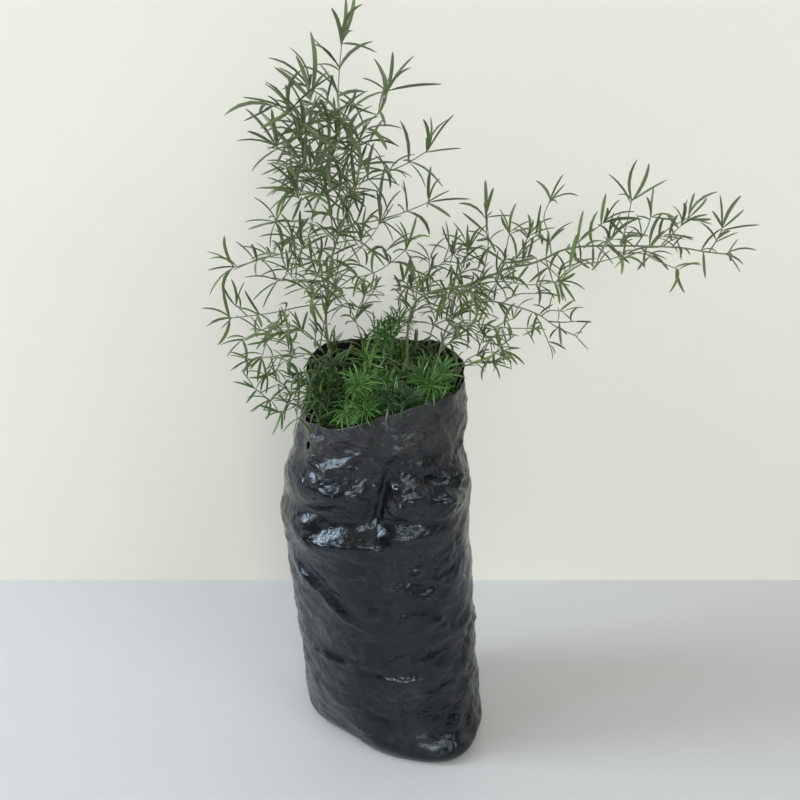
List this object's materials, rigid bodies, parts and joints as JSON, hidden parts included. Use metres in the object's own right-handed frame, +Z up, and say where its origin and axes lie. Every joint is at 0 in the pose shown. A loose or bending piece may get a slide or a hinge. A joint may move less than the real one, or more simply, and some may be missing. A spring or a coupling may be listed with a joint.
{
  "type": "asparagus fern in a nursery bag",
  "caption": "Open, trailing asparagus fern with an upright and a long arching stem, young shoots and low sprays, growing in a tall, soil-filled black film nursery bag.",
  "frame": {"origin": "middle of the bag's flat underside, on the surface that it stands on", "axes": "+Z up, +X towards the long arching stem, -Y towards the viewing side, where the rim dips"},
  "size_m": [0.3266, 0.16, 0.4926],
  "materials": {
    "film": "gloss",
    "soil": "matte",
    "foliage": "satin",
    "young_foliage": "satin"
  },
  "bodies": {
    "root": {"grow_bag": "film", "soil": "soil", "stem_upright": "foliage", "stem_arching": "foliage", "stem_trailing": "foliage", "stem_low_right": "foliage", "spray_left_upper": "foliage", "spray_left_middle": "foliage", "spray_left_lower": "foliage", "spray_right": "foliage", "shoot_young_front": "young_foliage", "shoot_young_middle": "young_foliage", "shoot_young_rear": "young_foliage", "shoot_young_right": "young_foliage", "spray_mouth_left": "foliage", "spray_mouth_front": "foliage", "spray_rear_left": "foliage", "spray_rear_right": "foliage"}
  },
  "joints": []
}
